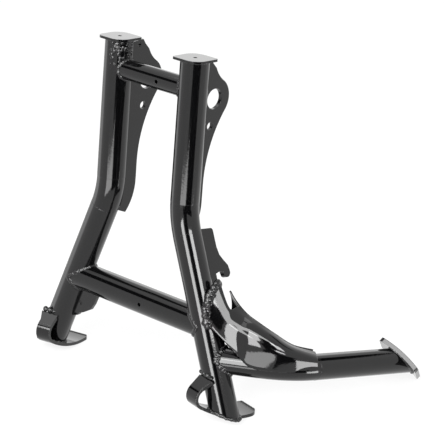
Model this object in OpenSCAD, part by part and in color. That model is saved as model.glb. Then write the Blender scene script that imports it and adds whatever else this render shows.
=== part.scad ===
// Centre stand of a motorcycle: two bent tube legs, two cross tubes, pivot plates,
// curved feet and a foot lever, all welded. Millimetres, Z up, resting on the ground.
// +X is the lever side, +Y is the rear.

/* [Legs] */
// Outer diameter of the leg tubes
leg_d = 35; // [33:0.5:38]
// Wall of the leg tubes
leg_wall = 2.5; // [2:0.1:4]
// Distance from the middle plane to a leg axis above the bend
leg_half = 62.4; // [58:0.2:70]
// Length of a leg from its bend's corner to the top of its cap plate
upper_len = 195.4; // [180:0.2:210]
// Length along a leg plane from the ground to the bend's corner
bend_at = 235.2; // [225:0.2:245]
// Outward splay of the lower legs in degrees
splay = 21.7; // [19:0.1:24]
// Centre-line radius of the leg bend
bend_r = 110; // [80:1:140]
// Rearward lean of the legs in degrees
lean = 6.3; // [5:0.1:8]
// Gap left between fitted pieces, filled by weld on the real stand
seat = 0.2; // [0.1:0.05:0.3]

/* [Cap plates] */
// Side of the square cap plates
cap_side = 39; // [38:0.5:42]
// Thickness of the cap plates
cap_t = 3; // [2:0.1:4]
// Radius of the two large corners of a cap plate
cap_big_r = 16; // [10:0.5:18]
// Radius of the two small corners of a cap plate
cap_small_r = 3.5; // [2:0.5:6]
// Diameter of the drain hole in a cap plate
cap_hole_d = 4.6; // [3:0.1:6]

/* [Cross tubes] */
// Outer diameter of the lower cross tube
low_d = 35; // [30:0.5:35]
// Wall of the lower cross tube
low_wall = 2.5; // [2:0.1:4]
// Length along the legs up to the lower cross tube's axis
low_at = 113.4; // [105:0.2:125]
// Outer diameter of the upper cross tube
high_d = 25; // [20:0.5:28]
// Wall of the upper cross tube
high_wall = 2; // [1.5:0.1:3]
// Distance of the upper cross tube's axis below the top of the legs
high_drop = 38.2; // [32:0.2:46]
// Diameter of the vent hole in each cross tube
vent_d = 5; // [3:0.1:7]
// Distance of the lower vent hole from the middle plane
low_vent_x = 15; // [-40:1:40]
// Distance of the upper vent hole from the middle plane
high_vent_x = 14; // [-30:1:30]

/* [Pivot plates] */
// Thickness of the pivot plates
plate_t = 5; // [4:0.1:6]
// Distance from the middle plane to the middle of a pivot plate
plate_x = 56.1; // [54:0.1:58]
// Radius of the pivot bore
bore_r = 12.5; // [11:0.1:14]
// Radius of the lobe around the pivot bore
lobe_r = 25.4; // [23:0.1:28]
// Distance of the pivot bore behind the leg plane
bore_back = 43.1; // [40:0.1:46]
// Distance of the pivot bore below the top of the legs
bore_drop = 56.6; // [50:0.2:62]
// Diameter of the pin hole below the bore
pin_hole_d = 10; // [6:0.1:12]
// Diameter of the small hole in a plate's top corner
corner_hole_d = 5; // [3:0.1:6]
// Distance of a plate's straight rear edge behind the leg plane
edge_back = 34; // [32:0.2:36]
// Length of a plate below the bend's corner
plate_tail = 28.2; // [20:0.2:32]
// Length of the weld along a plate
plate_weld_len = 66; // [40:1:80]

/* [Feet] */
// Thickness of the foot straps
foot_t = 4; // [3:0.1:5]
// Width of a foot strap at its front
strap_w = 20; // [18:0.5:24]
// Width of a foot strap under the leg
tongue_w = 31; // [27:0.5:36]
// Reach of a foot's tongue to the inner side
tongue_in = 21; // [16:0.5:24]
// Radius of the outer rear corner of a foot
tongue_r = 13; // [8:0.5:14]
// Radius of the inner rear corner of a foot
tongue_in_r = 7; // [4:0.5:12]
// Sideways step of the tongue from the front strap
tongue_shift = 9; // [4:0.5:12]
// Radius of the long curve under a foot
skid_r = 122; // [115:1:135]
// Angle of the long curve from the ground point to the front bend
skid_a = 36.5; // [32:0.5:40]
// Radius of the front bend of a foot
nose_r = 15; // [12:0.5:20]
// Angle from the ground point's radius at which the nose becomes straight
nose_a = 146; // [140:0.5:150]
// Length of the straight strap that runs up to the leg
strap_len = 17; // [10:0.5:20]
// Radius of the upturned rear end of a foot
heel_r = 13; // [10:1:30]
// Angle of the upturned rear end
heel_a = 24; // [10:1:35]
// Turn of a foot seen from above, its rear outward
foot_yaw = 11; // [6:0.5:14]
// Distance of a foot's ground point inside the leg's
foot_in = 5; // [0:0.5:8]
// Extra distance of the right foot from the middle plane
right_foot_out = 5.5; // [0:0.5:8]
// Distance of a strap's upper end in front of the legs' ground line
strap_front = 14; // [10:0.5:18]

/* [Spring hook] */
// Thickness of the spring hook
hook_t = 6; // [4:0.1:8]
// Width of the hook's slot
hook_slot = 13; // [10:0.5:13]
// Radius of the hook's nose
hook_nose_r = 6; // [5:0.1:7]
// Distance of the hook's slot behind the leg's axis
hook_back = 38; // [36:0.5:40]
// Length along the leg up to the round end of the hook's slot
hook_at = 172.9; // [170:0.1:176]

/* [Stop plate] */
// Thickness of the stop plate
stop_t = 5; // [4:0.1:6]
// Diameter of the hole in the stop plate
stop_hole_d = 5; // [3:0.1:7]

/* [Foot lever] */
// Outer diameter of the lever tube
lever_d = 32; // [30:0.5:32]
// Wall of the lever tube
lever_wall = 2.5; // [2:0.1:4]
// Height at which the lever tube's axis leaves the leg's axis
lever_z = 74; // [70:0.5:78]
// Centre-line radius of the lever tube's bend
lever_bend_r = 85; // [70:1:95]
// Corner of the lever tube's bend, outward of the leg's ground point
lever_corner_x = 49.5; // [46:0.5:54]
// Corner of the lever tube's bend, behind the legs' ground line
lever_corner_y = 56.5; // [54:0.5:59]
// Corner of the lever tube's bend, above the ground
lever_corner_z = 69.5; // [67:0.5:73]
// Drop of the lever tube's axis below the pedal plate's middle
lever_drop = 8; // [0:0.5:9]
// Sheet thickness of the gusset between leg and lever tube
gusset_t = 2.5; // [2:0.1:3]

/* [Pedal plate] */
// Length of the pedal plate
pedal_len = 60; // [54:0.5:68]
// Width of the pedal plate
pedal_w = 54; // [46:0.5:58]
// Distance of the pedal plate's middle below the lever tube's end
pedal_back = 5; // [0:0.5:8]
// Thickness of the pedal plate
pedal_t = 5.5; // [4:0.1:7]
// Outer radius of the pedal plate's arch
pedal_r = 150; // [120:1:200]
// Corner radius of the pedal plate
pedal_corner_r = 4; // [2:0.5:8]
// Pedal plate's middle, outward of the leg's ground point
pedal_x = 84; // [78:0.2:90]
// Pedal plate's middle, behind the legs' ground line
pedal_y = 230.9; // [225:0.2:237]
// Backward tip of the pedal plate in degrees
pedal_tip = 47.5; // [44:0.5:52]
// Sideways roll of the pedal plate in degrees
pedal_roll = 30; // [25:0.5:33]
// Turn of the pedal plate seen from above in degrees
pedal_yaw = 8.7; // [4:0.1:12]

/* [Welds] */
// Leg length of the weld beads
bead = 3; // [2:0.1:4]

/* [Frame] */
// Sideways distance from the middle plane to the frame's origin
origin_x = 51.42; // [-60:0.01:60]
// Distance of the frame's origin behind the legs' ground line
origin_y = 110.51; // [0:0.01:200]

/* [Hidden] */
$fn = 96;
far = 300;
leg_r = leg_d / 2;
bend_t = bend_r * tan(splay / 2);
leg_top = bend_at + upper_len;
leg_foot_x = leg_half + bend_at * tan(splay);
high_at = leg_top - high_drop;
bore_at = leg_top - bore_drop;
plate_low = bend_at - plate_tail;
foot_x = leg_foot_x - foot_in;
foot_y = (skid_r - nose_r) * sin(skid_a) + nose_r * sin(nose_a) + strap_len * cos(nose_a) - strap_front;
waist_r = 150;
waist_at = bore_at - sqrt(pow(waist_r + lobe_r, 2) - pow(edge_back + waist_r - bore_back, 2));
toe_r = 60;
// Reach of a straight rod into its bend, and how much thinner the bend is drawn.
lap = 1;
draw = 0.24;
lever_r = lever_d / 2;
paint = [0.045, 0.045, 0.05];
weld_paint = [0.06, 0.06, 0.065];

// Frames: the resting frame, the frame that leans with the legs, and the other side.
module placed() translate([-origin_x, -origin_y, 0]) children();

module leaned() placed() rotate([-lean, 0, 0]) children();

module right_side() mirror([1, 0, 0]) children();

// Full rods of diameter d along the left leg, in the leaning frame: above the bend, in it, below it.
// The straight rods reach a little into the bend, where a bent tube is drawn slightly thinner.
module upper_rod(d, top) translate([leg_half, 0, bend_at + bend_t - lap])
  cylinder(d = d, h = top - bend_at - bend_t + lap);

module bend_ring(d, inner) translate([leg_half + bend_r, 0, bend_at + bend_t]) rotate([90, 0, 0])
  rotate([0, 0, 180]) rotate_extrude(angle = splay) translate([bend_r, 0]) difference() {
    circle(d = d - draw);
    if (inner > 0) circle(d = inner + draw);
  }

module lower_rod(d, up = lap)
  translate([leg_half + (bend_t - up) * sin(splay), 0, bend_at - (bend_t - up) * cos(splay)])
    rotate([0, 180 - splay, 0]) cylinder(d = d, h = far);

module upper_tube() difference() {
  upper_rod(leg_d, leg_top - cap_t);
  translate([leg_half, 0, 10]) cylinder(d = leg_d - 2 * leg_wall, h = leg_top);
}

module one_leg(out = 0) difference() {
  rotate([-lean, 0, 0]) {
    upper_tube();
    bend_ring(leg_d, leg_d - 2 * leg_wall);
    difference() {
      lower_rod(leg_d);
      lower_rod(leg_d - 2 * leg_wall, 5);
    }
  }
  below_foot(out);
}

// Everything below the upper face of the left foot, in the resting frame.
module below_foot(out) foot_frame(out) difference() {
  translate([-120, -110, -200]) cube([240, 200, 240]);
  translate([-121, 0, skid_r]) rotate([0, 90, 0]) cylinder(r = skid_r - foot_t - seat, h = 242, $fn = 180);
}

module left_leg() color(paint) placed() one_leg();

module right_leg() color(paint) placed() right_side() one_leg(right_foot_out);

module corner_cut(x, y, r) translate([x * (cap_side / 2 - r), y * (cap_side / 2 - r)]) difference() {
  translate([x > 0 ? 0 : -r - 1, y > 0 ? 0 : -r - 1]) square(r + 1);
  circle(r);
}

// The same plate is on both legs, not mirrored: small corners front right and rear left.
module cap_plate(front_r) color(paint) translate([0, 0, leg_top - cap_t]) linear_extrude(cap_t) difference() {
  square(cap_side, center = true);
  corner_cut(-1, -1, front_r);
  corner_cut(1, 1, cap_small_r);
  corner_cut(1, -1, cap_big_r);
  corner_cut(-1, 1, cap_big_r);
  circle(d = cap_hole_d);
}

module left_cap_plate() leaned() translate([leg_half, 0, 0]) cap_plate(cap_small_r);

module right_cap_plate() leaned() translate([-leg_half, 0, 0]) cap_plate(cap_small_r + 4.5);

module cross_rod(d, at, from, to) translate([from, 0, at]) rotate([0, 90, 0]) cylinder(d = d, h = to - from);

module cross_tube(d, wall, at, vent_x) difference() {
  cross_rod(d, at, -axis_at(at), axis_at(at));
  cross_rod(d - 2 * wall, at, -far, far);
  for (s = [0, 1]) mirror([s, 0, 0]) if (at > bend_at) upper_rod(leg_d + 2 * seat, leg_top);
    else lower_rod(leg_d + 2 * seat);
  translate([vent_x, 0, at]) rotate([90, 0, 0]) cylinder(d = vent_d, h = d);
}

// Distance of the leg's axis from the middle plane at a length along the legs.
function axis_at(h) = leg_half + max(0, bend_at - h) * tan(splay);

module upper_cross_tube() color(paint) leaned() cross_tube(high_d, high_wall, high_at, high_vent_x);

module lower_cross_tube() color(paint) leaned() cross_tube(low_d, low_wall, low_at, low_vent_x);

// A pivot plate in the leg's side view: x is back from the leg plane, y is along the leg.
module plate_body() {
  linear_extrude(plate_t) translate([bore_back, bore_at]) circle(lobe_r);
  linear_extrude(plate_t) polygon([[0, leg_top - cap_t - 6], [edge_back - 1.7, leg_top - cap_t - 3],
    [edge_back + 2.5, leg_top - 12.1], [bore_back + 15, bore_at + 22.5], [bore_back + 5, bore_at],
    [bore_back + 23, bore_at - 20], [bore_back + 17, bore_at - 54], [edge_back + 10, bore_at - 84],
    [edge_back, waist_at], [edge_back, bend_at + 10.8], [0, bend_at + 10.8]]);
  linear_extrude(plate_t) intersection() {
    translate([edge_back - toe_r, bend_at + 11.3]) circle(toe_r);
    polygon([[0, bend_at + 12.8], [edge_back + 6, bend_at + 12.8], [edge_back + 6, plate_low + 10], [22, plate_low],
      [19, plate_low], [4, plate_low + 5.5], [0, bend_at + 4.8]]);
  }
}

module plate_cuts() {
  translate([bore_back + 34.5, bore_at + 52.5, -1]) cylinder(r = norm([34.5, 52.5]) - lobe_r, h = plate_t + 2);
  translate([edge_back + waist_r, waist_at, -1]) cylinder(r = waist_r, h = plate_t + 2, $fn = 180);
  translate([bore_back, bore_at, -1]) cylinder(r = bore_r, h = plate_t + 2);
  translate([bore_back - 4.4, bore_at - 33, -1]) cylinder(d = pin_hole_d, h = plate_t + 2);
  translate([edge_back - 8.2, leg_top - 12.3, -1]) cylinder(d = corner_hole_d, h = plate_t + 2);
}

module pivot_plate() difference() {
  translate([plate_x - plate_t / 2, 0, 0]) rotate([90, 0, 90]) difference() {
    plate_body();
    plate_cuts();
  }
  upper_rod(leg_d + 2 * seat, leg_top);
  bend_ring(leg_d + 2 * seat, 0);
  lower_rod(leg_d + 2 * seat);
}

module left_pivot_plate() color(paint) leaned() pivot_plate();

module right_pivot_plate() color(paint) leaned() right_side() pivot_plate();

module foot_frame(out = 0) translate([foot_x + out, foot_y, 0]) rotate([0, 0, -foot_yaw]) children();

// Part of a wide strap bent around an axis along x; angles from straight down, positive to the front.
module bent_strap(r, from, to, thin) rotate([0, 90, 0]) rotate([0, 0, -to])
  rotate_extrude(angle = to - from, $fn = 180) translate([r - foot_t + thin, -40])
    square([foot_t - 2 * thin, 80]);

module foot_strap() {
  translate([0, 0, heel_r]) bent_strap(heel_r, -heel_a, 0, draw / 2);
  translate([0, 0, skid_r]) bent_strap(skid_r, -0.3, skid_a + 0.15, 0);
  translate([0, -(skid_r - nose_r) * sin(skid_a), skid_r - (skid_r - nose_r) * cos(skid_a)]) {
    bent_strap(nose_r, skid_a, nose_a, draw / 2);
    translate([-40, -nose_r * sin(nose_a), -nose_r * cos(nose_a)]) rotate([180 - nose_a, 0, 0])
      translate([0, -lap, -foot_t]) cube([80, strap_len + lap, foot_t]);
  }
}

front_x0 = -tongue_shift - strap_w / 2;
front_x1 = -tongue_shift + strap_w / 2;
heel_y = heel_r * sin(heel_a);

module rear_corner(s, out, r) translate([s * (out - r), heel_y - 0.3 - r]) difference() {
  translate([s > 0 ? 0 : -r - 1, 0]) square(r + 1);
  circle(r);
}

// The foot seen from above: a narrow strap at the front, a wider tongue with rounded corners at the rear.
module foot_plan() difference() {
  polygon([[front_x0, -110], [front_x1, -110], [front_x1, -68], [tongue_w / 2, -38], [tongue_w / 2, heel_y - 0.3],
    [-tongue_in, heel_y - 0.3], [-tongue_in, -24], [front_x0, -68]]);
  rear_corner(1, tongue_w / 2, tongue_r);
  rear_corner(-1, tongue_in, tongue_in_r);
}

module one_foot(out = 0) difference() {
  foot_frame(out) intersection() {
    foot_strap();
    translate([0, 0, -1]) linear_extrude(90) foot_plan();
  }
  intersection() {
    rotate([-lean, 0, 0]) lower_rod(leg_d + 2 * seat);
    translate([0, -100, 30]) cube([far, 200, 120]);
  }
}

module left_foot() color(paint) placed() one_foot();

module right_foot() color(paint) placed() right_side() one_foot(right_foot_out);

// Frame of the lower left leg: x is outward, y is back, z runs up along the leg's axis.
module lower_leg_frame() translate([leg_foot_x, 0, 0]) rotate([0, -splay, 0]) children();

module hook_outline() difference() {
  union() {
    translate([hook_back, hook_at]) polygon([[-30, -22.9], [-14, -22.9], [-6.5, -7.9], [-6.5, 5.1], [17.5, 5.1],
      [16, 11.6], [10.5, 18.6], [5.5, 26.1], [3.3, 36.1], [3, 56.1], [-1, 60.1], [-30, 63.1]]);
    translate([hook_back + 11.6, hook_at + 3.1]) circle(hook_nose_r);
    translate([hook_back - 1, hook_at + 56.1]) circle(4);
  }
  translate([hook_back, hook_at]) circle(d = hook_slot);
  translate([hook_back - hook_slot / 2, hook_at - 33]) square([hook_slot, 33]);
}

module spring_hook() color(paint) leaned() difference() {
  lower_leg_frame() translate([-hook_t / 2, 0, 0]) rotate([90, 0, 90]) linear_extrude(hook_t) hook_outline();
  lower_rod(leg_d + 2 * seat, 12);
}

module stop_plate() color(paint) leaned() right_side() difference() {
  translate([axis_at(low_at), stop_t / 2, low_at]) rotate([90, 0, 0]) linear_extrude(stop_t) difference() {
    polygon([[-37.9, -3.4], [-37.9, -20.9], [-33.4, -31.4], [-27.9, -39.9], [-15.9, -46.9], [-9.4, -49.1],
      [-5.9, -53.4], [14.1, -59.4], [14.1, -3.4]]);
    translate([-10.3, -35.4]) circle(d = stop_hole_d);
  }
  lower_rod(leg_d + 2 * seat);
  cross_rod(low_d + 2 * seat, low_at, 0, far);
}

function unit(v) = v / norm(v);
lever_start = [leg_foot_x - lever_z / cos(lean) * tan(splay), lever_z * tan(lean), lever_z];
lever_corner = [leg_foot_x + lever_corner_x, lever_corner_y, lever_corner_z];
pedal_sag = pedal_r - sqrt(pedal_r * pedal_r - pedal_len * pedal_len / 4);
pedal_z = pedal_len / 2 * sin(pedal_roll) - pedal_corner_r * 0.3373
  + cos(pedal_roll) * ((pedal_sag + pedal_t) * sin(pedal_tip) + (pedal_w / 2 + pedal_back) * cos(pedal_tip));
pedal_mid = [leg_foot_x + pedal_x, pedal_y, pedal_z];
lever_end = pedal_mid - [0, 0, lever_drop];
dir_a = unit(lever_corner - lever_start);
dir_b = unit(lever_end - lever_corner);
lever_turn = acos(dir_a * dir_b);
lever_t = lever_bend_r * tan(lever_turn / 2);
turn_axis = unit(cross(dir_a, dir_b));
turn_in = cross(turn_axis, dir_a);
arc_start = lever_corner - dir_a * lever_t;
arc_end = lever_corner + dir_b * lever_t;
arc_centre = arc_start + turn_in * lever_bend_r;

// Puts local x, y and z along three given directions at a point.
module oriented(at, ex, ey, ez) multmatrix([[ex[0], ey[0], ez[0], at[0]], [ex[1], ey[1], ez[1], at[1]],
  [ex[2], ey[2], ez[2], at[2]], [0, 0, 0, 1]]) children();

module lever_first(d, h) oriented(lever_start, turn_in, turn_axis * -1, dir_a) cylinder(d = d, h = h);

module lever_last(d, h) oriented(arc_end - dir_b * lap, cross(turn_axis, dir_b), turn_axis * -1, dir_b)
  cylinder(d = d, h = h + lap);

module lever_tube() color(paint) placed() {
  difference() {
    lever_first(lever_d, norm(arc_start - lever_start) + lap);
    lever_first(lever_d - 2 * lever_wall, far);
    rotate([-lean, 0, 0]) lower_rod(leg_d + 2 * seat);
  }
  oriented(arc_centre, turn_in * -1, dir_a, turn_axis) rotate_extrude(angle = lever_turn)
    translate([lever_bend_r, 0]) difference() {
      circle(d = lever_d - draw);
      circle(d = lever_d - 2 * lever_wall + draw);
    }
  difference() {
    lever_last(lever_d, norm(lever_end - arc_end) + 60);
    lever_last(lever_d - 2 * lever_wall, far);
    beyond_pedal(0);
  }
}

module pedal_frame() translate(pedal_mid) rotate([pedal_tip, pedal_roll, pedal_yaw]) children();

module pedal_plate() color(paint) placed() pedal_frame() intersection() {
  translate([0, -pedal_r, 0]) rotate([0, 0, 75]) rotate_extrude(angle = 30, $fn = 180)
    translate([pedal_r - pedal_t, -pedal_w / 2 - pedal_back]) square([pedal_t, pedal_w]);
  translate([0, 20, 0]) rotate([90, 0, 0]) linear_extrude(60) translate([0, -pedal_back]) pedal_face();
}

module pedal_face() {
  square([pedal_len, pedal_w - 2 * pedal_corner_r], center = true);
  square([pedal_len - 2 * pedal_corner_r, pedal_w], center = true);
  for (x = [-1, 1], y = [-1, 1])
    translate([x * (pedal_len / 2 - pedal_corner_r), y * (pedal_w / 2 - pedal_corner_r)]) circle(pedal_corner_r);
}

// All that lies outward of the pedal plate's inner face, less a margin.
module beyond_pedal(margin) pedal_frame() difference() {
  translate([-100, -30, -100]) cube([200, 200, 200]);
  translate([0, -pedal_r, -101]) cylinder(r = pedal_r - pedal_t - seat - margin, h = 202, $fn = 180);
}

// Smooth curve through control points p at position s from 0 to 1.
function at_span(p, s) = min(len(p) - 2, floor(s * (len(p) - 1)));
function curve(p, s) = let (i = at_span(p, s), u = s * (len(p) - 1) - i, a = p[max(0, i - 1)], b = p[i], c = p[i + 1],
  d = p[min(len(p) - 1, i + 2)]) b + (c - a) * u / 2 + (2 * a - 5 * b + 4 * c - d) * u * u / 2
  + (3 * b - a - 3 * c + d) * u * u * u / 2;
function bezier(a, b, c, u) = a * (1 - u) * (1 - u) + b * 2 * u * (1 - u) + c * u * u;
function clamp(v, low, high) = max(low, min(high, v));
function ease(v) = let (c = clamp(v, 0, 1)) c * c * (3 - 2 * c);

// Front sheet: lower edge, middle, crease and lip edge from the leg to the tail on the lever tube.
// The points' first numbers are outward of the leg's ground point.
front_low = [[-31, 3, 119], [-14.5, 8.5, 105], [2, 14, 91], [19, 19, 77],
  [39, 33, 72.5], [54.5, 53, 69], [67.5, 86, 63]];
front_mid = [[-37.5, 8.5, 142], [-19, 14, 122], [-1, 19, 110], [17, 22, 101],
  [38, 34, 92.5], [54, 52, 84], [67.5, 86, 70.5]];
crease = [[-38.5, 26.5, 163.5], [-21.5, 23.5, 138], [-5, 27, 127], [12, 28.5, 123],
  [34, 37, 113], [51.5, 52.5, 98], [67.2, 85.5, 78]];
lip = [[-35, 41, 150], [-25, 40.5, 139.5], [-8, 41.5, 127.5], [12, 42.5, 120.5],
  [28, 52, 108.5], [42.5, 68.5, 92], [53.5, 97, 77]];
lip_from = 0.2;

function lip_at(s) = let (c = curve(crease, s), o = curve(lip, s)) c + (o - c) * (0.1 + 0.9 * ease((s - lip_from) * 25));
function front_row(s) = let (a = curve(front_low, s), m = curve(front_mid, s), c = curve(crease, s), o = lip_at(s),
  e = 8 + 6 * s, c1 = c + (m - c) * min(0.6, e / norm(m - c)), c2 = c + (o - c) * min(0.6, e / norm(o - c)))
  concat([for (u = [0:0.25:0.99]) a + (m - a) * u], [for (u = [0:0.34:0.99]) m + (c1 - m) * u],
    [for (u = [0:0.2:1]) bezier(c1, c, c2, u)], [for (u = [0.34:0.33:1]) c2 + (o - c2) * u]);

// Back sheet: top edge, middle and lower edge.
back_top = [[-35, 42, 150], [-25, 41.5, 139.5], [-8, 42.5, 127.5], [12, 43.5, 120.5],
  [27.5, 53, 108.5], [41.5, 70, 92], [50, 98.5, 78]];
back_mid = [[-32.5, 42, 122], [-23, 43, 116], [-10, 45, 106], [6, 51, 99],
  [20, 63, 90], [31, 78, 81], [37, 97, 73.5]];
back_low = [[-39.5, 29, 97], [-30, 31, 86], [-16.5, 37, 74], [1, 48, 72],
  [14.5, 59, 70.5], [28, 77.5, 67], [34, 95, 62]];

function back_row(s) = let (a = curve(back_low, s), m = curve(back_mid, s), c = curve(back_top, s))
  [for (u = [0:0.125:1]) bezier(a, 2 * m - (a + c) / 2, c, u)];

function normal_at(g, i, j) = unit(cross(g[min(i + 1, len(g) - 1)][j] - g[max(i - 1, 0)][j],
  g[i][min(j + 1, len(g[0]) - 1)] - g[i][max(j - 1, 0)]));

// A sheet of even thickness from a grid of points, thickened along its normals.
module sheet(g, t) {
  n = len(g);
  m = len(g[0]);
  outer = [for (i = [0:n - 1], j = [0:m - 1]) g[i][j] + normal_at(g, i, j) * t];
  inner = [for (i = [0:n - 1], j = [0:m - 1]) g[i][j]];
  k = n * m;
  polyhedron(points = concat(outer, inner), faces = concat(
    [for (i = [0:n - 2], j = [0:m - 2], f = [[i * m + j, i * m + j + 1, (i + 1) * m + j],
      [i * m + j + 1, (i + 1) * m + j + 1, (i + 1) * m + j]]) f],
    [for (i = [0:n - 2], j = [0:m - 2], f = [[k + i * m + j, k + (i + 1) * m + j, k + i * m + j + 1],
      [k + i * m + j + 1, k + (i + 1) * m + j, k + (i + 1) * m + j + 1]]) f],
    [for (i = [0:n - 2], f = [[i * m, (i + 1) * m, k + i * m], [(i + 1) * m, k + (i + 1) * m, k + i * m],
      [i * m + m - 1, k + i * m + m - 1, (i + 1) * m + m - 1],
      [(i + 1) * m + m - 1, k + i * m + m - 1, k + (i + 1) * m + m - 1]]) f],
    [for (j = [0:m - 2], f = [[j, k + j, j + 1], [j + 1, k + j, k + j + 1],
      [(n - 1) * m + j, (n - 1) * m + j + 1, k + (n - 1) * m + j],
      [(n - 1) * m + j + 1, k + (n - 1) * m + j + 1, k + (n - 1) * m + j]]) f]));
}

module gusset_front() color(paint) placed() translate([leg_foot_x, 0, 0])
  sheet([for (s = [0:1 / 40:1.001]) front_row(min(s, 1))], gusset_t);

module gusset_back() color(paint) placed() translate([leg_foot_x, 0, 0])
  sheet([for (s = [0:1 / 30:1.001]) back_row(min(s, 1))], -gusset_t);

// Bead around the joint of a cross tube and the left leg.
module cross_weld(d, at) difference() {
  intersection() {
    cross_rod(d + 2 * bead, at, 20, axis_at(at));
    if (at > bend_at) upper_rod(leg_d + 1.7 * bead, leg_top);
    else lower_rod(leg_d + 1.7 * bead);
  }
  cross_rod(d + seat, at, 0, far);
  if (at > bend_at) upper_rod(leg_d + seat, leg_top);
  else lower_rod(leg_d + seat);
  translate([axis_at(low_at) - 50, -stop_t / 2 - seat, low_at - 74]) cube([60, stop_t + 2 * seat, 58]);
}

module left_upper_weld() color(weld_paint) leaned() cross_weld(high_d, high_at);

module right_upper_weld() color(weld_paint) leaned() right_side() cross_weld(high_d, high_at);

module left_lower_weld() color(weld_paint) leaned() cross_weld(low_d, low_at);

module right_lower_weld() color(weld_paint) leaned() right_side() cross_weld(low_d, low_at);

// Bead across the strap's upper end, on the front of the leg.
module foot_weld(out = 0) difference() {
  foot_frame(out) translate([front_x0, -(skid_r - nose_r) * sin(skid_a) - nose_r * sin(nose_a) - cos(nose_a) * strap_len,
    skid_r - (skid_r - nose_r) * cos(skid_a) - nose_r * cos(nose_a) + sin(nose_a) * strap_len + bead + seat])
    rotate([0, 90, 0]) cylinder(r = bead, h = strap_w);
  rotate([-lean, 0, 0]) lower_rod(leg_d + seat);
}

module left_foot_weld() color(weld_paint) placed() foot_weld();

module right_foot_weld() color(weld_paint) placed() right_side() foot_weld(right_foot_out);

// Bead in the corner between a pivot plate's outer face and the rear of the leg.
module plate_weld() difference() {
  translate([plate_x + plate_t / 2 + 0.6, leg_r - 0.6, bend_at + bend_t + 5.7]) cylinder(r = bead, h = plate_weld_len);
  translate([plate_x - 20, 0, bend_at]) cube([20 + plate_t / 2 + seat / 2, 60, upper_len]);
  upper_rod(leg_d + seat, leg_top);
}

module left_plate_weld() color(weld_paint) leaned() plate_weld();

module right_plate_weld() color(weld_paint) leaned() right_side() plate_weld();

module lever_weld() color(weld_paint) placed() difference() {
  intersection() {
    lever_first(lever_d + 2 * bead, 60);
    rotate([-lean, 0, 0]) lower_rod(leg_d + 1.7 * bead);
  }
  lever_first(lever_d + seat, 100);
  rotate([-lean, 0, 0]) lower_rod(leg_d + seat);
}

module pedal_weld() color(weld_paint) placed() difference() {
  intersection() {
    lever_last(lever_d + 1.6 * bead, norm(lever_end - arc_end) + 60);
    pedal_frame() translate([0, -pedal_r, -pedal_back]) difference() {
      cylinder(r = pedal_r - pedal_t - seat / 2, h = pedal_w, center = true, $fn = 180);
      cylinder(r = pedal_r - pedal_t - bead, h = 90, center = true, $fn = 180);
    }
  }
  lever_last(lever_d + seat, far);
}

left_leg();
right_leg();
left_cap_plate();
right_cap_plate();
upper_cross_tube();
lower_cross_tube();
left_pivot_plate();
right_pivot_plate();
left_foot();
right_foot();
spring_hook();
stop_plate();
lever_tube();
gusset_front();
gusset_back();
pedal_plate();
left_upper_weld();
right_upper_weld();
left_lower_weld();
right_lower_weld();
left_foot_weld();
right_foot_weld();
left_plate_weld();
right_plate_weld();
lever_weld();
pedal_weld();
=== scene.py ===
import math
import random

import bmesh
import bpy
from mathutils import Matrix, Vector


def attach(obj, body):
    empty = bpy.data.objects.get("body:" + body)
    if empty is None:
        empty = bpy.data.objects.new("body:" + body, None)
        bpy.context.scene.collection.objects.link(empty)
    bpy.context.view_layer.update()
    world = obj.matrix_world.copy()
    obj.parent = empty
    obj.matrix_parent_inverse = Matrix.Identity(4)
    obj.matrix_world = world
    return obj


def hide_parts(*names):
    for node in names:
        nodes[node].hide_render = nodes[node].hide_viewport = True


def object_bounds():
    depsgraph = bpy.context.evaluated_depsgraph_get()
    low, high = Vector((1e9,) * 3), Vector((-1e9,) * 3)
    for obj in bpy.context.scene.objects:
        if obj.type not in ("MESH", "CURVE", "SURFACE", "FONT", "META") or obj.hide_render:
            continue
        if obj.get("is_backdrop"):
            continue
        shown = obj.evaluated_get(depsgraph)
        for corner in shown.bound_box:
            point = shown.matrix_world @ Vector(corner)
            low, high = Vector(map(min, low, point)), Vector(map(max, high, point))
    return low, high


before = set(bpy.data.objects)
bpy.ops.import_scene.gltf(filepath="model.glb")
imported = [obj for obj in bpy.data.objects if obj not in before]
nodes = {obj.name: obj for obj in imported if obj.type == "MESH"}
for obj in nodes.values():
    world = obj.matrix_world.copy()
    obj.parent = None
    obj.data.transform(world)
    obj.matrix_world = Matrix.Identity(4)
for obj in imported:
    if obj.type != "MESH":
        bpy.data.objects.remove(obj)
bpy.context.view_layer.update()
scene = bpy.context.scene
scene.view_settings.view_transform = "Standard"
print("frame loaded:", len(nodes), "nodes")

# where the tubes run, in metres, as the stand's own frame has them
stand = {
    "origin": Vector((0.05142, 0.11051, 0.0)),
    "lean": math.radians(6.3),
    "splay": math.radians(21.7),
    "legHalf": 0.0624,
    "legRadius": 0.0175,
    "bendAt": 0.2352,
    "legTop": 0.4306,
    "crossHigh": {"at": 0.3924, "radius": 0.0125},
    "crossLow": {"at": 0.1134, "radius": 0.0175},
    "leverRadius": 0.016,
    "leverCorner": Vector((0.0495, 0.0565, 0.0695)),
    "leverZ": 0.074,
}
legFootX = stand["legHalf"] + stand["bendAt"] * math.tan(stand["splay"])


def resting(point):
    return Vector(point) - stand["origin"]


def leaned(point):
    return Matrix.Rotation(-stand["lean"], 3, "X") @ Vector(point) - stand["origin"]


def leanedDirection(direction):
    return Matrix.Rotation(-stand["lean"], 3, "X") @ Vector(direction)


def mirrored(point):
    return Vector((-point[0], point[1], point[2]))


# materials


def link(tree, output, target):
    tree.links.new(output, target)


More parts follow.
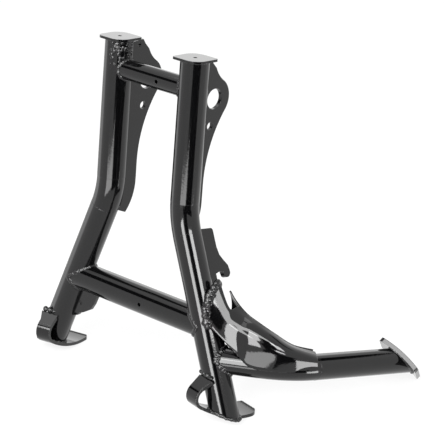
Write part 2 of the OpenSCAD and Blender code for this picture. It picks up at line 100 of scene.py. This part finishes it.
def newGroup(name, inputs, outputs):
    group = bpy.data.node_groups.new(name, "ShaderNodeTree")
    for label, value in inputs.items():
        socket = group.interface.new_socket(name=label, in_out="INPUT", socket_type="NodeSocketFloat")
        socket.default_value = value
    for label, kind in outputs.items():
        group.interface.new_socket(name=label, in_out="OUTPUT", socket_type=kind)
    start = group.nodes.new("NodeGroupInput")
    end = group.nodes.new("NodeGroupOutput")
    return group, start, end


def noiseTexture(tree, coordinates, scale, detail=2.0, roughness=0.5):
    texture = tree.nodes.new("ShaderNodeTexNoise")
    texture.inputs["Detail"].default_value = detail
    texture.inputs["Roughness"].default_value = roughness
    if isinstance(scale, (int, float)):
        texture.inputs["Scale"].default_value = scale
    else:
        link(tree, scale, texture.inputs["Scale"])
    link(tree, coordinates, texture.inputs["Vector"])
    return texture.outputs["Fac"]


def mathNode(tree, operation, first, second=None, third=None, clamp=False):
    node = tree.nodes.new("ShaderNodeMath")
    node.operation = operation
    node.use_clamp = clamp
    for slot, value in enumerate((first, second, third)):
        if value is None:
            continue
        if isinstance(value, (int, float)):
            node.inputs[slot].default_value = value
        else:
            link(tree, value, node.inputs[slot])
    return node.outputs[0]


def orangePeelGroup():
    group, start, end = newGroup(
        "orangePeel",
        {"Ripple Scale": 420.0, "Ripple": 1.0, "Grit Scale": 2600.0, "Grit": 0.12},
        {"Height": "NodeSocketFloat"},
    )
    coordinates = group.nodes.new("ShaderNodeTexCoord").outputs["Object"]
    ripple = noiseTexture(group, coordinates, start.outputs["Ripple Scale"], 1.5)
    grit = noiseTexture(group, coordinates, start.outputs["Grit Scale"], 2.0)
    rippled = mathNode(group, "MULTIPLY", ripple, start.outputs["Ripple"])
    gritty = mathNode(group, "MULTIPLY", grit, start.outputs["Grit"])
    link(group, mathNode(group, "ADD", rippled, gritty), end.inputs["Height"])
    return group


def paintFilmGroup():
    # thickness of the film: a slow drift with darker, glossier pools and dustier patches
    group, start, end = newGroup(
        "paintFilm",
        {"Drift Scale": 22.0, "Dust Scale": 160.0, "Dust": 0.5},
        {"Drift": "NodeSocketFloat", "Dust": "NodeSocketFloat"},
    )
    coordinates = group.nodes.new("ShaderNodeTexCoord").outputs["Object"]
    drift = noiseTexture(group, coordinates, start.outputs["Drift Scale"], 3.0)
    speck = noiseTexture(group, coordinates, start.outputs["Dust Scale"], 6.0, 0.7)
    sharp = mathNode(group, "SUBTRACT", speck, 0.56)
    dusty = mathNode(group, "MULTIPLY", sharp, 5.0, clamp=True)
    link(group, drift, end.inputs["Drift"])
    link(group, mathNode(group, "MULTIPLY", dusty, start.outputs["Dust"]), end.inputs["Dust"])
    return group


def edgeGroup():
    # how far a rounded edge turns away from the true face: 0 on flats, 1 on sharp edges
    group, start, end = newGroup(
        "edgeWear",
        {"Radius": 0.0007, "Reach": 3.0},
        {"Mask": "NodeSocketFloat", "Normal": "NodeSocketVector"},
    )
    bevel = group.nodes.new("ShaderNodeBevel")
    bevel.samples = 6
    link(group, start.outputs["Radius"], bevel.inputs["Radius"])
    geometry = group.nodes.new("ShaderNodeNewGeometry")
    dot = group.nodes.new("ShaderNodeVectorMath")
    dot.operation = "DOT_PRODUCT"
    link(group, bevel.outputs["Normal"], dot.inputs[0])
    link(group, geometry.outputs["Normal"], dot.inputs[1])
    turned = mathNode(group, "SUBTRACT", 1.0, dot.outputs["Value"])
    link(group, mathNode(group, "MULTIPLY", turned, start.outputs["Reach"], clamp=True), end.inputs["Mask"])
    link(group, bevel.outputs["Normal"], end.inputs["Normal"])
    return group


orangePeel = orangePeelGroup()
paintFilm = paintFilmGroup()
edgeWear = edgeGroup()

paints = {
    "blackGloss": {
        "deep": (0.0010, 0.0010, 0.0011, 1.0),
        "thin": (0.0019, 0.0019, 0.0021, 1.0),
        "edge": (0.010, 0.010, 0.011, 1.0),
        "roughness": (0.05, 0.08),
        "dustRoughness": 0.06,
        "peel": 0.000022,
        "rippleScale": 420.0,
        "ripple": 1.0,
        "grit": 0.10,
    },
    "blackWeld": {
        "deep": (0.0010, 0.0010, 0.0011, 1.0),
        "thin": (0.0026, 0.0026, 0.0028, 1.0),
        "edge": (0.010, 0.010, 0.011, 1.0),
        "roughness": (0.10, 0.20),
        "dustRoughness": 0.14,
        "peel": 0.00010,
        "rippleScale": 700.0,
        "ripple": 1.0,
        "grit": 0.35,
    },
}


def makePaint(name):
    look = paints[name]
    material = bpy.data.materials.new(name)
    material.use_nodes = True
    tree = material.node_tree
    tree.nodes.clear()
    output = tree.nodes.new("ShaderNodeOutputMaterial")
    shader = tree.nodes.new("ShaderNodeBsdfPrincipled")
    shader.inputs["IOR"].default_value = 1.5
    link(tree, shader.outputs["BSDF"], output.inputs["Surface"])
    film = tree.nodes.new("ShaderNodeGroup")
    film.node_tree = paintFilm
    edge = tree.nodes.new("ShaderNodeGroup")
    edge.node_tree = edgeWear
    peel = tree.nodes.new("ShaderNodeGroup")
    peel.node_tree = orangePeel
    peel.inputs["Ripple Scale"].default_value = look["rippleScale"]
    peel.inputs["Ripple"].default_value = look["ripple"]
    peel.inputs["Grit"].default_value = look["grit"]
    drift = tree.nodes.new("ShaderNodeMix")
    drift.data_type = "RGBA"
    drift.inputs["A"].default_value = look["deep"]
    drift.inputs["B"].default_value = look["thin"]
    link(tree, film.outputs["Drift"], drift.inputs["Factor"])
    worn = tree.nodes.new("ShaderNodeMix")
    worn.data_type = "RGBA"
    worn.inputs["B"].default_value = look["edge"]
    link(tree, edge.outputs["Mask"], worn.inputs["Factor"])
    link(tree, drift.outputs["Result"], worn.inputs["A"])
    link(tree, worn.outputs["Result"], shader.inputs["Base Color"])
    low, high = look["roughness"]
    rough = mathNode(tree, "MULTIPLY_ADD", film.outputs["Drift"], high - low, low)
    dusty = mathNode(tree, "MULTIPLY_ADD", film.outputs["Dust"], look["dustRoughness"], rough)
    link(tree, dusty, shader.inputs["Roughness"])
    bump = tree.nodes.new("ShaderNodeBump")
    bump.inputs["Strength"].default_value = 1.0
    bump.inputs["Distance"].default_value = look["peel"]
    link(tree, peel.outputs["Height"], bump.inputs["Height"])
    link(tree, edge.outputs["Normal"], bump.inputs["Normal"])
    link(tree, bump.outputs["Normal"], shader.inputs["Normal"])
    return material


blackGloss = makePaint("blackGloss")
blackWeld = makePaint("blackWeld")
print("paints mixed")


def paintOnly(obj, material):
    obj.data.materials.clear()
    obj.data.materials.append(material)


for name, obj in nodes.items():
    paintOnly(obj, blackWeld if name.endswith("_weld") else blackGloss)


def meshFrom(shape, name):
    mesh = bpy.data.meshes.new(name)
    shape.to_mesh(mesh)
    shape.free()
    return mesh


def finishPiece(name, mesh, material, replacing=()):
    for face in mesh.polygons:
        face.use_smooth = True
    piece = bpy.data.objects.new(name, mesh)
    scene.collection.objects.link(piece)
    piece.data.materials.append(material)
    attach(piece, "root")
    if replacing:
        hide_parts(*replacing)
    return piece


# weld beads: overlapping flattened drops laid along a joint
drop = {
    "tilt": 0.25,  # how far each drop leans up along the run, and how much that wanders
    "tiltWander": 0.2,
    "drift": 0.5,  # sideways wander as a share of width and unevenness
    "overlap": 1.15,  # half length of a drop over the pitch
    "sink": 0.25,  # share of the height below the joint's line
    "around": 12,
    "up": 8,
}
jointSteps = 72


def layBead(shape, points, normals, look, seed):
    width, height, pitch, rough = (look[key] for key in ("width", "height", "pitch", "rough"))
    chance = random.Random(seed)
    lengths = [0.0]
    for before, after in zip(points, points[1:]):
        lengths.append(lengths[-1] + (after - before).length)
    count = max(2, int(lengths[-1] / pitch))
    for step in range(count + 1):
        along = lengths[-1] * step / count
        index = max(i for i, value in enumerate(lengths[:-1]) if value <= along + 1e-9)
        share = (along - lengths[index]) / max(1e-9, lengths[index + 1] - lengths[index])
        centre = points[index].lerp(points[index + 1], share)
        normal = normals[index].lerp(normals[index + 1], share).normalized()
        tangent = (points[index + 1] - points[index]).normalized()
        lift = drop["tilt"] + drop["tiltWander"] * chance.uniform(-1, 1)
        tangent = (tangent + normal * lift).normalized()
        side = normal.cross(tangent).normalized()
        normal = tangent.cross(side).normalized()
        w = width * (1 + rough * chance.uniform(-1, 1))
        h = height * (1 + rough * chance.uniform(-1, 1))
        shift = side * width * rough * drop["drift"] * chance.uniform(-1, 1)
        place = Matrix((
            (tangent.x, side.x, normal.x, 0),
            (tangent.y, side.y, normal.y, 0),
            (tangent.z, side.z, normal.z, 0),
            (0, 0, 0, 1),
        ))
        size = Matrix.Diagonal((pitch * drop["overlap"], w, h, 1))
        spot = Matrix.Translation(centre + shift - normal * height * drop["sink"])
        whole = spot @ place @ size
        bmesh.ops.create_uvsphere(
            shape, u_segments=drop["around"], v_segments=drop["up"], radius=1.0, matrix=whole
        )


def tubeJoint(start, along, radius, otherStart, otherAlong, otherRadius, far=False):
    # points where one tube's surface meets another's, with the directions away from both
    along = along.normalized()
    otherAlong = otherAlong.normalized()
    first = along.cross(otherAlong).normalized()
    second = along.cross(first).normalized()
    points, normals = [], []
    for step in range(jointSteps + 1):
        angle = math.radians(360.0 * step / jointSteps)
        side = first * math.cos(angle) + second * math.sin(angle)
        begin = start + side * radius
        offset = begin - otherStart
        flatOffset = offset - otherAlong * offset.dot(otherAlong)
        flatAlong = along - otherAlong * along.dot(otherAlong)
        a = flatAlong.length_squared
        b = flatOffset.dot(flatAlong)
        c = flatOffset.length_squared - otherRadius * otherRadius
        root = math.sqrt(max(0.0, b * b - a * c))
        reach = (-b + root) / a if far else (-b - root) / a
        point = begin + along * reach
        away = point - otherStart
        away = (away - otherAlong * away.dot(otherAlong)).normalized() * (-1 if far else 1)
        points.append(point)
        normals.append((side + away).normalized())
    return points, normals


upAxis = leanedDirection((0, 0, 1))
acrossAxis = Vector((1, 0, 0))


def upperLeg(s):
    return leaned((s * stand["legHalf"], 0, stand["legTop"])), upAxis


def lowerLeg(s):
    direction = leanedDirection((s * math.sin(stand["splay"]), 0, -math.cos(stand["splay"])))
    return leaned((s * stand["legHalf"], 0, stand["bendAt"])), direction


# one entry per kind of bead: half width, half height and pitch in metres, and unevenness
beads = {
    "high": {"width": 0.0034, "height": 0.0024, "pitch": 0.0022, "rough": 0.22},
    "low": {"width": 0.0036, "height": 0.0025, "pitch": 0.0024, "rough": 0.18},
    "lever": {"width": 0.0042, "height": 0.0030, "pitch": 0.0027, "rough": 0.35},
    "pedal": {"width": 0.0030, "height": 0.0024, "pitch": 0.0026, "rough": 0.30},
    "foot": {"width": 0.0032, "height": 0.0030, "pitch": 0.0030, "rough": 0.35},
    "sole": {"width": 0.0026, "height": 0.0022, "pitch": 0.0024, "rough": 0.30},
    "plate": {"width": 0.0024, "height": 0.0020, "pitch": 0.0022, "rough": 0.20},
    "cap": {"width": 0.0017, "height": 0.0014, "pitch": 0.0019, "rough": 0.25},
    "hook": {"width": 0.0022, "height": 0.0018, "pitch": 0.0022, "rough": 0.25},
    "web": {"width": 0.0052, "height": 0.0036, "pitch": 0.0040, "rough": 0.45},
    "seam": {"width": 0.0016, "height": 0.0013, "pitch": 0.0050, "rough": 0.30},
}


def beadPiece(name, runs, kind, seed, replacing=()):
    shape = bmesh.new()
    for count, (points, normals) in enumerate(runs):
        layBead(shape, points, normals, beads[kind], seed + count)
    finishPiece(name, meshFrom(shape, name), blackWeld, replacing)


def crossWeld(s, side, which):
    tube = stand["crossHigh" if which == "high" else "crossLow"]
    legPoint, legAlong = upperLeg(s) if which == "high" else lowerLeg(s)
    middle = leaned((0, 0, tube["at"]))
    joint = tubeJoint(middle, acrossAxis * s, tube["radius"], legPoint, legAlong, stand["legRadius"])
    word = "Upper" if which == "high" else "Lower"
    beadPiece(side + word + "Bead", [joint], which, 11 + s, (side + "_" + word.lower() + "_weld",))


for s, side in ((1, "left"), (-1, "right")):
    for which in ("high", "low"):
        crossWeld(s, side, which)
print("cross tube beads laid")

# gusset sheets: rows of points in millimetres from the leg's ground point, leg end first
gussetFront = {
    "low": [
        (-31, 3, 119), (-14.5, 8.5, 105), (2, 14, 91), (19, 19, 77), (39, 33, 72.5),
        (54.5, 53, 69), (67.5, 86, 63),
    ],
    "middle": [
        (-37.5, 8.5, 142), (-19, 14, 122), (-1, 19, 110), (17, 22, 101), (38, 34, 92.5),
        (54, 52, 84), (67.5, 86, 70.5),
    ],
    "crease": [
        (-38.5, 26.5, 163.5), (-21.5, 23.5, 138), (-5, 27, 127), (12, 28.5, 123),
        (34, 37, 113), (51.5, 52.5, 98), (67.2, 85.5, 78),
    ],
    "lip": [
        (-35, 41, 150), (-25, 40.5, 139.5), (-8, 41.5, 127.5), (12, 42.5, 120.5),
        (28, 52, 108.5), (42.5, 68.5, 92), (53.5, 97, 77),
    ],
    "lipFrom": 0.2,  # share of the length where the lip starts
    "lipRise": 25,  # how suddenly it starts
    "stub": 0.1,  # share of the lip's width before it starts
    "creaseReach": (8, 6),  # millimetres rounded beside the crease, and what the far end adds
    "thickness": 0.0025,
}
gussetBack = {
    "low": [
        (-39.5, 29, 97), (-30, 31, 86), (-16.5, 37, 74), (1, 48, 72), (14.5, 59, 70.5),
        (28, 77.5, 67), (34, 95, 62),
    ],
    "middle": [
        (-32.5, 42, 122), (-23, 43, 116), (-10, 45, 106), (6, 51, 99), (20, 63, 90),
        (31, 78, 81), (37, 97, 73.5),
    ],
    "top": [
        (-35, 42, 150), (-25, 41.5, 139.5), (-8, 42.5, 127.5), (12, 43.5, 120.5),
        (27.5, 53, 108.5), (41.5, 70, 92), (50, 98.5, 78),
    ],
    "thickness": 0.0025,
}
sheetMesh = {"along": 72, "across": 32, "rim": 0.0005, "rimSegments": 2, "rimAngle": math.radians(40)}
bodyShare, creaseShare = 0.45, 0.25  # of the front sheet's width; the lip has the rest


def through(points, s):
    # smooth curve through the points at s from 0 to 1
    spans = len(points) - 1
    i = min(spans - 1, int(s * spans))
    u = s * spans - i
    a, b, c, d = (Vector(points[k]) for k in (max(0, i - 1), i, i + 1, min(spans, i + 2)))
    bend = 2 * a - 5 * b + 4 * c - d
    twist = 3 * b - a - 3 * c + d
    return b + (c - a) * u / 2 + bend * u * u / 2 + twist * u**3 / 2


def rounded(a, b, c, u):
    # arc from a to c that heads for b
    return a * (1 - u) ** 2 + b * 2 * u * (1 - u) + c * u * u


def besideLeg(point):
    return resting(Vector((legFootX, 0, 0)) + point * 0.001)


def frontPoint(s, v):
    # s runs from the leg to the lever, v from the low edge over the crease to the lip's edge
    low, middle = through(gussetFront["low"], s), through(gussetFront["middle"], s)
    crease, lip = through(gussetFront["crease"], s), through(gussetFront["lip"], s)
    eased = max(0.0, min(1.0, (s - gussetFront["lipFrom"]) * gussetFront["lipRise"]))
    stub = gussetFront["stub"]
    lip = crease + (lip - crease) * (stub + (1 - stub) * eased * eased * (3 - 2 * eased))
    near, more = gussetFront["creaseReach"]
    reach = near + more * s
    before = crease + (middle - crease) * min(0.6, reach / max(1e-6, (middle - crease).length))
    after = crease + (lip - crease) * min(0.6, reach / max(1e-6, (lip - crease).length))
    if v < bodyShare:
        return besideLeg(rounded(low, middle * 2 - (low + before) / 2, before, v / bodyShare))
    if v < bodyShare + creaseShare:
        return besideLeg(rounded(before, crease, after, (v - bodyShare) / creaseShare))
    start = bodyShare + creaseShare
    return besideLeg(after.lerp(lip, (v - start) / (1 - start)))


def backPoint(s, v):
    low, middle, top = (through(gussetBack[row], s) for row in ("low", "middle", "top"))
    return besideLeg(rounded(low, middle * 2 - (low + top) / 2, top, v))


def pressSheet(name, place, thickness, side, cadName):
    shape = bmesh.new()
    bmesh.ops.create_grid(shape, x_segments=sheetMesh["along"], y_segments=sheetMesh["across"], size=0.5)
    for corner in shape.verts:
        s, v = (min(1.0, max(0.0, value + 0.5)) for value in corner.co.xy)
        corner.co = place(s, v)
    inner = [corner for corner in shape.verts if not corner.is_boundary]
    bmesh.ops.smooth_vert(shape, verts=inner, factor=0.5)
    sheet = finishPiece(name, meshFrom(shape, name), blackGloss, replacing=(cadName,))
    wall = sheet.modifiers.new("wall", "SOLIDIFY")
    wall.thickness = thickness
    wall.offset = side
    rim = sheet.modifiers.new("rim", "BEVEL")
    rim.width = sheetMesh["rim"]
    rim.segments = sheetMesh["rimSegments"]
    rim.limit_method = "ANGLE"
    rim.angle_limit = sheetMesh["rimAngle"]


pressSheet("gussetFrontSheet", frontPoint, gussetFront["thickness"], 1, "gusset_front")
pressSheet("gussetBackSheet", backPoint, gussetBack["thickness"], -1, "gusset_back")
print("gusset sheets pressed")

# the other welds, in metres; the foot's and the pedal's own frames are the construction's
foot = {
    "in": 0.005, "rightOut": 0.0055, "y": 0.04394, "yaw": math.radians(11), "skid": 0.122, "thick": 0.004,
    "strapX": (-0.0190, 0.0010), "strapY": -0.05694, "strapZ": 0.0611,
}
pedal = {
    "middle": Vector((0.084, 0.2309, 0.03782)), "drop": 0.008, "arch": 0.150, "thick": 0.0055,
    "tip": math.radians(47.5), "roll": math.radians(30), "yaw": math.radians(8.7),
}
plateRun = {"x": 0.0592, "y": 0.0169, "z": 0.2621, "length": 0.066}
capWeldZ = 0.4274
hookRun = {"x": 0.0034, "y": 0.0172, "z": 0.152, "length": 0.082}
legCut = 0.12  # length along a lower leg from which its sole weld is sought
leverCut = 0.08  # the same along the lever tube from either end


def footFrame(point, s):
    out = foot["rightOut"] if s < 0 else 0.0
    turned = Matrix.Rotation(-foot["yaw"], 3, "Z") @ Vector(point)
    place = turned + Vector((legFootX - foot["in"] + out, foot["y"], 0))
    return resting(mirrored(place) if s < 0 else place)


def footDirection(direction, s):
    turned = Matrix.Rotation(-foot["yaw"], 3, "Z") @ Vector(direction)
    return mirrored(turned) if s < 0 else turned


for s, side in ((1, "left"), (-1, "right")):
    x0, x1 = foot["strapX"]
    line = [footFrame((x0 + (x1 - x0) * k / 8, foot["strapY"], foot["strapZ"]), s) for k in range(9)]
    away = [Vector((0.15 * s, -0.9, 0.4)).normalized()] * 9
    beadPiece(side + "FootBead", [(line, away)], "foot", 31 + s, (side + "_foot_weld",))
    legPoint, legAlong = lowerLeg(s)
    begin = legPoint + legAlong * legCut
    skidMiddle = footFrame((0, 0, foot["skid"]), s)
    skidAlong = footDirection((1, 0, 0), s)
    skidInside = foot["skid"] - foot["thick"]
    sole = tubeJoint(begin, legAlong, stand["legRadius"], skidMiddle, skidAlong, skidInside, far=True)
    beadPiece(side + "SoleBead", [sole], "sole", 41 + s)
    heights = [plateRun["z"] + plateRun["length"] * k / 12 for k in range(13)]
    line = [leaned((s * plateRun["x"], plateRun["y"], z)) for z in heights]
    away = [leanedDirection((0.7 * s, 0.7, 0))] * 13
    beadPiece(side + "PlateBead", [(line, away)], "plate", 51 + s, (side + "_plate_weld",))
    ring = [(math.cos(math.radians(a)), math.sin(math.radians(a))) for a in range(0, 361, 10)]
    radius = stand["legRadius"]
    line = [leaned((s * stand["legHalf"] + radius * x, radius * y, capWeldZ)) for x, y in ring]
    away = [leanedDirection((x, y, -0.6)).normalized() for x, y in ring]
    beadPiece(side + "CapBead", [(line, away)], "cap", 61 + s)

leverSide = -stand["leverZ"] / math.cos(stand["lean"]) * math.tan(stand["splay"])
leverBack = stand["leverZ"] * math.tan(stand["lean"])
leverStart = resting((legFootX + leverSide, leverBack, stand["leverZ"]))
leverCorner = resting(stand["leverCorner"] + Vector((legFootX, 0, 0)))
pedalMiddle = resting(pedal["middle"] + Vector((legFootX, 0, 0)))
leverEnd = pedalMiddle - Vector((0, 0, pedal["drop"]))
leverFirst = (leverCorner - leverStart).normalized()
leverLast = (leverEnd - leverCorner).normalized()
legPoint, legAlong = lowerLeg(1)
begin = leverStart + leverFirst * leverCut
joint = tubeJoint(begin, -leverFirst, stand["leverRadius"], legPoint, legAlong, stand["legRadius"])
beadPiece("leverBead", [joint], "lever", 71, ("lever_weld",))
pedalTurn = Matrix.Identity(3)
for axis, turn in (("Z", "yaw"), ("Y", "roll"), ("X", "tip")):
    pedalTurn = pedalTurn @ Matrix.Rotation(pedal[turn], 3, axis)
archMiddle = pedalMiddle + pedalTurn @ Vector((0, -pedal["arch"], 0))
archAlong = pedalTurn @ Vector((0, 0, 1))
archInside = pedal["arch"] - pedal["thick"]
begin = leverEnd - leverLast * leverCut
joint = tubeJoint(begin, leverLast, stand["leverRadius"], archMiddle, archAlong, archInside, far=True)
beadPiece("pedalBead", [joint], "pedal", 81, ("pedal_weld",))


def sheetNormal(place, s, v):
    ds = place(min(1, s + 0.02), v) - place(max(0, s - 0.02), v)
    dv = place(s, min(1, v + 0.02)) - place(s, max(0, v - 0.02))
    return ds.cross(dv).normalized()


def awayFromLeg(point):
    offset = point - legPoint
    return (offset - legAlong * offset.dot(legAlong)).normalized()


# two rough runs where the gusset meets the leg, and dots along its low edge on the lever
webRun = {"count": 18, "shift": (0.0010, -0.0028, 0), "wave": 0.003, "beat": 9}
seamFrom = 0.30
shares = [k / 24 for k in range(25)]
webLine = [frontPoint(0.0, v) for v in shares]
webAway = [
    (sheetNormal(frontPoint, 0.02, v) * 0.8 + awayFromLeg(point) * 0.5).normalized()
    for v, point in zip(shares, webLine)
]
webSecond = [
    p + leanedDirection(webRun["shift"]) + Vector((0, 0, webRun["wave"] * math.sin(webRun["beat"] * k)))
    for k, p in enumerate(webLine)
]
few = webRun["count"]
beadPiece("webBead", [(webLine, webAway), (webSecond[:few], webAway[:few])], "web", 91)
along = [seamFrom + (1 - seamFrom) * share for share in shares]
seamLine = [frontPoint(s, 0.0) for s in along]
seamAway = [(sheetNormal(frontPoint, s, 0.05) + Vector((0, -0.2, -0.6))).normalized() for s in along]
beadPiece("seamBead", [(seamLine, seamAway)], "seam", 95)


def lowerLegFrame(x, y, z):
    a = stand["splay"]
    return leaned((legFootX + x * math.cos(a) - z * math.sin(a), y, x * math.sin(a) + z * math.cos(a)))


hookRuns = []
for face in (1, -1):
    heights = [hookRun["z"] + hookRun["length"] * k / 12 for k in range(13)]
    line = [lowerLegFrame(face * hookRun["x"], hookRun["y"], z) for z in heights]
    hookRuns.append((line, [leanedDirection((face * 0.6, 0.8, 0)).normalized()] * 13))
beadPiece("hookBead", hookRuns, "hook", 97)

# rough run of weld on the front of the right leg, under its cap
patch = {
    "from": -80, "to": 20, "low": 0.398, "high": 0.4255, "count": 90, "sizes": (0.0009, 0.0021),
    "radius": 0.0176, "wide": 1.3, "flat": 0.55,
}
shape = bmesh.new()
chance = random.Random(5)
for step in range(patch["count"]):
    a = math.radians(chance.uniform(patch["from"], patch["to"]))
    z = chance.uniform(patch["low"], patch["high"])
    radius = chance.uniform(*patch["sizes"])
    x, y = math.cos(a), math.sin(a)
    spot = Matrix.Translation(leaned((-stand["legHalf"] + patch["radius"] * x, patch["radius"] * y, z)))
    turn = leanedDirection((x, y, 0)).to_track_quat("Z", "Y").to_matrix().to_4x4()
    size = Matrix.Diagonal((radius * patch["wide"], radius * patch["wide"], radius * patch["flat"], 1))
    bmesh.ops.create_uvsphere(shape, u_segments=8, v_segments=6, radius=1.0, matrix=spot @ turn @ size)
finishPiece("capSpatter", meshFrom(shape, "capSpatter"), blackWeld)
print("all welds laid")

# camera at the photograph's viewing angle
cameraLook = {
    "place": Vector((1.61858, -1.75061, 1.1855)),
    "aim": Vector((-0.6282, 0.6775, -0.3826)),
    "lens": 169.98,
}
camera = bpy.data.objects.new("camera", bpy.data.cameras.new("camera"))
scene.collection.objects.link(camera)
camera.location = cameraLook["place"]
camera.rotation_mode = "QUATERNION"
camera.rotation_quaternion = cameraLook["aim"].to_track_quat("-Z", "Y")
camera.data.lens = cameraLook["lens"]
camera.data.sensor_width = 36.0
camera.data.clip_start = 0.1
camera.data.clip_end = 50.0
scene.camera = camera

# studio: a white world, soft lamps and dark flags, all about three metres away
studio = {
    "centre": Vector((0.0, 0.0, 0.2)),
    "distance": 3.0,
    "worldLight": 0.55,
    "floorShine": 0.80,
}


def outward(azimuth, elevation):
    a, e = math.radians(azimuth), math.radians(elevation)
    return Vector((math.cos(a) * math.cos(e), math.sin(a) * math.cos(e), math.sin(e)))


def facing(azimuth, elevation):
    # a card's own z looks back at the stand, its y stays upright
    return outward(azimuth, elevation).to_track_quat("Z", "Y")


lamps = {
    # name: azimuth, elevation, width and height in degrees, brightness where white is 1
    "backLamp": (128, 14, 34, 22, 1.1),
    "topLamp": (180, 64, 80, 26, 1.25),
    "leftStrip": (-71, 17, 20, 34, 12.0),
    "rightStrip": (-17, 22, 22, 16, 13.5),
    "overLamp": (-72, 38, 84, 18, 9.0),
    "lowerStrip": (-64, -15, 40, 12, 5.0),
    "tailLamp": (10, -25, 16, 12, 9.0),
    "edgeLamp": (-160, -14, 20, 24, 0.8),
}
flags = {
    "cameraFlag": (-43, 13, 22, 34),
    "frontFlag": (-26, -7, 64, 8),
    "gussetFlag": (-20, -18, 38, 14),
    "sideFlag": (-146, 33, 34, 15),
    "lowLeftFlag": (151, -20, 24, 14),
    "rightFlag": (72, 36, 22, 9),
}


def spans(width, height):
    far = studio["distance"]
    return 2 * far * math.tan(math.radians(width / 2)), 2 * far * math.tan(math.radians(height / 2))


for name, (azimuth, elevation, width, height, brightness) in lamps.items():
    lamp = bpy.data.lights.new(name, "AREA")
    lamp.shape = "RECTANGLE"
    lamp.size, lamp.size_y = spans(width, height)
    lamp.energy = brightness * math.pi * lamp.size * lamp.size_y
    holder = bpy.data.objects.new(name, lamp)
    scene.collection.objects.link(holder)
    holder.location = studio["centre"] + outward(azimuth, elevation) * studio["distance"]
    holder.rotation_mode = "QUATERNION"
    holder.rotation_quaternion = facing(azimuth, elevation)
    holder.visible_camera = False


def flatMaterial(name, color):
    material = bpy.data.materials.new(name)
    material.use_nodes = True
    tree = material.node_tree
    tree.nodes.clear()
    output = tree.nodes.new("ShaderNodeOutputMaterial")
    diffuse = tree.nodes.new("ShaderNodeBsdfDiffuse")
    diffuse.inputs["Color"].default_value = color
    link(tree, diffuse.outputs["BSDF"], output.inputs["Surface"])
    return material


flagBlack = flatMaterial("flagBlack", (0.0, 0.0, 0.0, 1.0))
for name, (azimuth, elevation, width, height) in flags.items():
    shape = bmesh.new()
    wide, high = spans(width, height)
    place = Matrix.Translation(studio["centre"] + outward(azimuth, elevation) * studio["distance"] * 0.98)
    turn = facing(azimuth, elevation).to_matrix().to_4x4()
    size = Matrix.Diagonal((wide, high, 1, 1))
    bmesh.ops.create_grid(shape, x_segments=1, y_segments=1, size=0.5, matrix=place @ turn @ size)
    mesh = meshFrom(shape, name)
    card = bpy.data.objects.new(name, mesh)
    scene.collection.objects.link(card)
    mesh.materials.append(flagBlack)
    card.visible_camera = False
    card.visible_diffuse = False
    card.visible_shadow = False
    card.visible_transmission = False
    card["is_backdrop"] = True

world = bpy.data.worlds.new("studioWorld")
scene.world = world
world.use_nodes = True
tree = world.node_tree
tree.nodes.clear()
output = tree.nodes.new("ShaderNodeOutputWorld")
background = tree.nodes.new("ShaderNodeBackground")
path = tree.nodes.new("ShaderNodeLightPath")
seen = mathNode(tree, "MAXIMUM", path.outputs["Is Camera Ray"], path.outputs["Is Glossy Ray"])
seen = mathNode(tree, "MAXIMUM", seen, path.outputs["Is Transmission Ray"])
level = mathNode(tree, "MULTIPLY_ADD", seen, 1.0 - studio["worldLight"], studio["worldLight"])
background.inputs["Color"].default_value = (1.0, 1.0, 1.0, 1.0)
link(tree, level, background.inputs["Strength"])
link(tree, background.outputs["Background"], output.inputs["Surface"])

# floor: pale, white to the camera, keeping a faint shadow
floorMaterial = bpy.data.materials.new("paleFloor")
floorMaterial.use_nodes = True
tree = floorMaterial.node_tree
tree.nodes.clear()
output = tree.nodes.new("ShaderNodeOutputMaterial")
diffuse = tree.nodes.new("ShaderNodeBsdfDiffuse")
diffuse.inputs["Color"].default_value = (0.86, 0.86, 0.86, 1.0)
glow = tree.nodes.new("ShaderNodeEmission")
path = tree.nodes.new("ShaderNodeLightPath")
blend = tree.nodes.new("ShaderNodeMixShader")
seen = mathNode(tree, "MAXIMUM", path.outputs["Is Camera Ray"], path.outputs["Is Glossy Ray"])
seen = mathNode(tree, "MAXIMUM", seen, path.outputs["Is Transmission Ray"])
link(tree, mathNode(tree, "MULTIPLY", seen, studio["floorShine"]), blend.inputs[0])
link(tree, diffuse.outputs["BSDF"], blend.inputs[1])
link(tree, glow.outputs["Emission"], blend.inputs[2])
link(tree, blend.outputs["Shader"], output.inputs["Surface"])
shape = bmesh.new()
bmesh.ops.create_grid(shape, x_segments=1, y_segments=1, size=12.0)
mesh = meshFrom(shape, "floor")
floor = bpy.data.objects.new("floor", mesh)
scene.collection.objects.link(floor)
mesh.materials.append(floorMaterial)
floor.location.z = -0.0005
floor.visible_glossy = False
floor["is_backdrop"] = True
print("studio set")

low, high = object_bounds()
